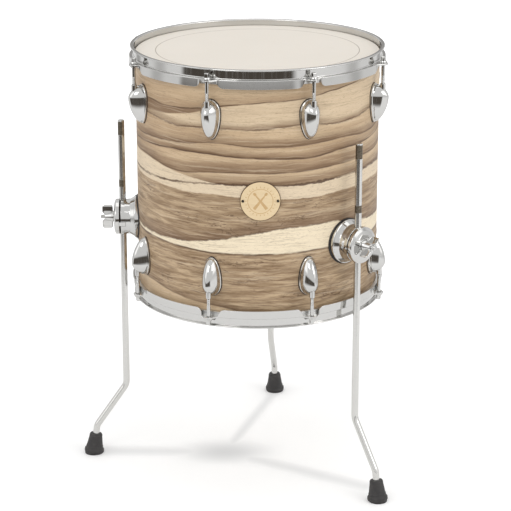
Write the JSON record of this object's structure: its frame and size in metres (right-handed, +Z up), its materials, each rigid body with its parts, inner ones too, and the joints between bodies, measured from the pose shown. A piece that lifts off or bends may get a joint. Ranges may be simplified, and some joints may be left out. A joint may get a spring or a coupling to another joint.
{
  "type": "floor tom drum",
  "caption": "Deep cylindrical wood-shell drum with a head at each end under flanged hoops, rod tensioned, on bent tubular legs held in shell brackets.",
  "frame": {"origin": "on the floor, under the middle of the whole object's bounding box; the drum's own axis stands a little off it because the feet are not evenly spread", "axes": "+Z up along the drum's axis, -Y the side with the badge, +X to the right seen from the badge side"},
  "size_m": [0.4552, 0.4658, 0.6425],
  "materials": {
    "veneer_shell": "satin lacquer over figured light and brown veneer with the grain running round the shell",
    "chrome": "mirror",
    "drum_head": "coated film, warm white",
    "badge_wood": "pale maple with burnt engraving",
    "dark_pins": "dark, satin",
    "ring_aluminium": "satin",
    "black_rubber": "matt",
    "plain_steel": "zinc plated"
  },
  "bodies": {
    "drum": {"shell": "veneer_shell", "badge": "badge_wood", "badge_pins": "dark_pins", "vent_grommet": "chrome", "top_head": "drum_head", "bottom_head": "drum_head", "top_flesh_ring": "ring_aluminium", "bottom_flesh_ring": "ring_aluminium", "top_hoop": "chrome", "bottom_hoop": "chrome", "lug_top_1": "chrome", "lug_top_2": "chrome", "lug_top_3": "chrome", "lug_top_4": "chrome", "lug_top_5": "chrome", "lug_top_6": "chrome", "lug_top_7": "chrome", "lug_top_8": "chrome", "lug_bottom_1": "chrome", "lug_bottom_2": "chrome", "lug_bottom_3": "chrome", "lug_bottom_4": "chrome", "lug_bottom_5": "chrome", "lug_bottom_6": "chrome", "lug_bottom_7": "chrome", "lug_bottom_8": "chrome", "rod_washers": "plain_steel", "lug_gaskets": "black_rubber", "swivel_nuts": "chrome", "lug_screws": "plain_steel", "bracket_screws": "plain_steel", "bracket_gaskets": "black_rubber", "bracket_bases": "chrome", "bracket_caps": "chrome", "eye_bolts": "chrome"},
    "top_rod_1": {"tension_rod_top_1": "chrome"},
    "top_rod_2": {"tension_rod_top_2": "chrome"},
    "top_rod_3": {"tension_rod_top_3": "chrome"},
    "top_rod_4": {"tension_rod_top_4": "chrome"},
    "top_rod_5": {"tension_rod_top_5": "chrome"},
    "top_rod_6": {"tension_rod_top_6": "chrome"},
    "top_rod_7": {"tension_rod_top_7": "chrome"},
    "top_rod_8": {"tension_rod_top_8": "chrome"},
    "bottom_rod_1": {"tension_rod_bottom_1": "chrome"},
    "bottom_rod_2": {"tension_rod_bottom_2": "chrome"},
    "bottom_rod_3": {"tension_rod_bottom_3": "chrome"},
    "bottom_rod_4": {"tension_rod_bottom_4": "chrome"},
    "bottom_rod_5": {"tension_rod_bottom_5": "chrome"},
    "bottom_rod_6": {"tension_rod_bottom_6": "chrome"},
    "bottom_rod_7": {"tension_rod_bottom_7": "chrome"},
    "bottom_rod_8": {"tension_rod_bottom_8": "chrome"},
    "leg_left": {"leg_left": "chrome", "rubber_foot_left": "black_rubber"},
    "leg_right": {"leg_right": "chrome", "rubber_foot_right": "black_rubber"},
    "leg_rear": {"leg_rear": "chrome", "rubber_foot_rear": "black_rubber"},
    "wing_left": {"wing_nut_left": "chrome"},
    "wing_right": {"wing_nut_right": "chrome"},
    "wing_rear": {"wing_nut_rear": "chrome"}
  },
  "joints": [
    {"name": "top_rod_1_turn", "type": "hinge", "parent": "drum", "child": "top_rod_1", "pos_m": [0.1135, -0.20956, 0.6331], "axis": [0, 0, 1], "range_deg": [-450, 450]},
    {"name": "top_rod_2_turn", "type": "hinge", "parent": "drum", "child": "top_rod_2", "pos_m": [0.21725, -0.10581, 0.6331], "axis": [0, 0, 1], "range_deg": [-450, 450]},
    {"name": "top_rod_3_turn", "type": "hinge", "parent": "drum", "child": "top_rod_3", "pos_m": [0.21725, 0.04091, 0.6331], "axis": [0, 0, 1], "range_deg": [-450, 450]},
    {"name": "top_rod_4_turn", "type": "hinge", "parent": "drum", "child": "top_rod_4", "pos_m": [0.1135, 0.14466, 0.6331], "axis": [0, 0, 1], "range_deg": [-450, 450]},
    {"name": "top_rod_5_turn", "type": "hinge", "parent": "drum", "child": "top_rod_5", "pos_m": [-0.03322, 0.14466, 0.6331], "axis": [0, 0, 1], "range_deg": [-450, 450]},
    {"name": "top_rod_6_turn", "type": "hinge", "parent": "drum", "child": "top_rod_6", "pos_m": [-0.13697, 0.04091, 0.6331], "axis": [0, 0, 1], "range_deg": [-450, 450]},
    {"name": "top_rod_7_turn", "type": "hinge", "parent": "drum", "child": "top_rod_7", "pos_m": [-0.13697, -0.10581, 0.6331], "axis": [0, 0, 1], "range_deg": [-450, 450]},
    {"name": "top_rod_8_turn", "type": "hinge", "parent": "drum", "child": "top_rod_8", "pos_m": [-0.03322, -0.20956, 0.6331], "axis": [0, 0, 1], "range_deg": [-450, 450]},
    {"name": "bottom_rod_1_turn", "type": "hinge", "parent": "drum", "child": "bottom_rod_1", "pos_m": [0.1135, -0.20956, 0.2775], "axis": [0, 0, 1], "range_deg": [-450, 450]},
    {"name": "bottom_rod_2_turn", "type": "hinge", "parent": "drum", "child": "bottom_rod_2", "pos_m": [0.21725, -0.10581, 0.2775], "axis": [0, 0, 1], "range_deg": [-450, 450]},
    {"name": "bottom_rod_3_turn", "type": "hinge", "parent": "drum", "child": "bottom_rod_3", "pos_m": [0.21725, 0.04091, 0.2775], "axis": [0, 0, 1], "range_deg": [-450, 450]},
    {"name": "bottom_rod_4_turn", "type": "hinge", "parent": "drum", "child": "bottom_rod_4", "pos_m": [0.1135, 0.14466, 0.2775], "axis": [0, 0, 1], "range_deg": [-450, 450]},
    {"name": "bottom_rod_5_turn", "type": "hinge", "parent": "drum", "child": "bottom_rod_5", "pos_m": [-0.03322, 0.14466, 0.2775], "axis": [0, 0, 1], "range_deg": [-450, 450]},
    {"name": "bottom_rod_6_turn", "type": "hinge", "parent": "drum", "child": "bottom_rod_6", "pos_m": [-0.13697, 0.04091, 0.2775], "axis": [0, 0, 1], "range_deg": [-450, 450]},
    {"name": "bottom_rod_7_turn", "type": "hinge", "parent": "drum", "child": "bottom_rod_7", "pos_m": [-0.13697, -0.10581, 0.2775], "axis": [0, 0, 1], "range_deg": [-450, 450]},
    {"name": "bottom_rod_8_turn", "type": "hinge", "parent": "drum", "child": "bottom_rod_8", "pos_m": [-0.03322, -0.20956, 0.2775], "axis": [0, 0, 1], "range_deg": [-450, 450]},
    {"name": "left_leg_slide", "type": "slide", "parent": "drum", "child": "leg_left", "axis": [0, 0, 1], "range_m": [-0.1, 0.2]},
    {"name": "right_leg_slide", "type": "slide", "parent": "drum", "child": "leg_right", "axis": [0, 0, 1], "range_m": [-0.1, 0.2]},
    {"name": "rear_leg_slide", "type": "slide", "parent": "drum", "child": "leg_rear", "axis": [0, 0, 1], "range_m": [-0.1, 0.2]},
    {"name": "left_wing_nut_turn", "type": "hinge", "parent": "drum", "child": "wing_left", "pos_m": [-0.18186, -0.03245, 0.381], "axis": [-1, 0, 0], "range_deg": [-30, 810]},
    {"name": "right_wing_nut_turn", "type": "hinge", "parent": "drum", "child": "wing_right", "pos_m": [0.19436, -0.19215, 0.381], "axis": [0.6947, -0.7193, 0], "range_deg": [-30, 810]},
    {"name": "rear_wing_nut_turn", "type": "hinge", "parent": "drum", "child": "wing_rear", "pos_m": [0.06912, 0.18765, 0.381], "axis": [0.1305, 0.9914, 0], "range_deg": [-30, 810]}
  ]
}
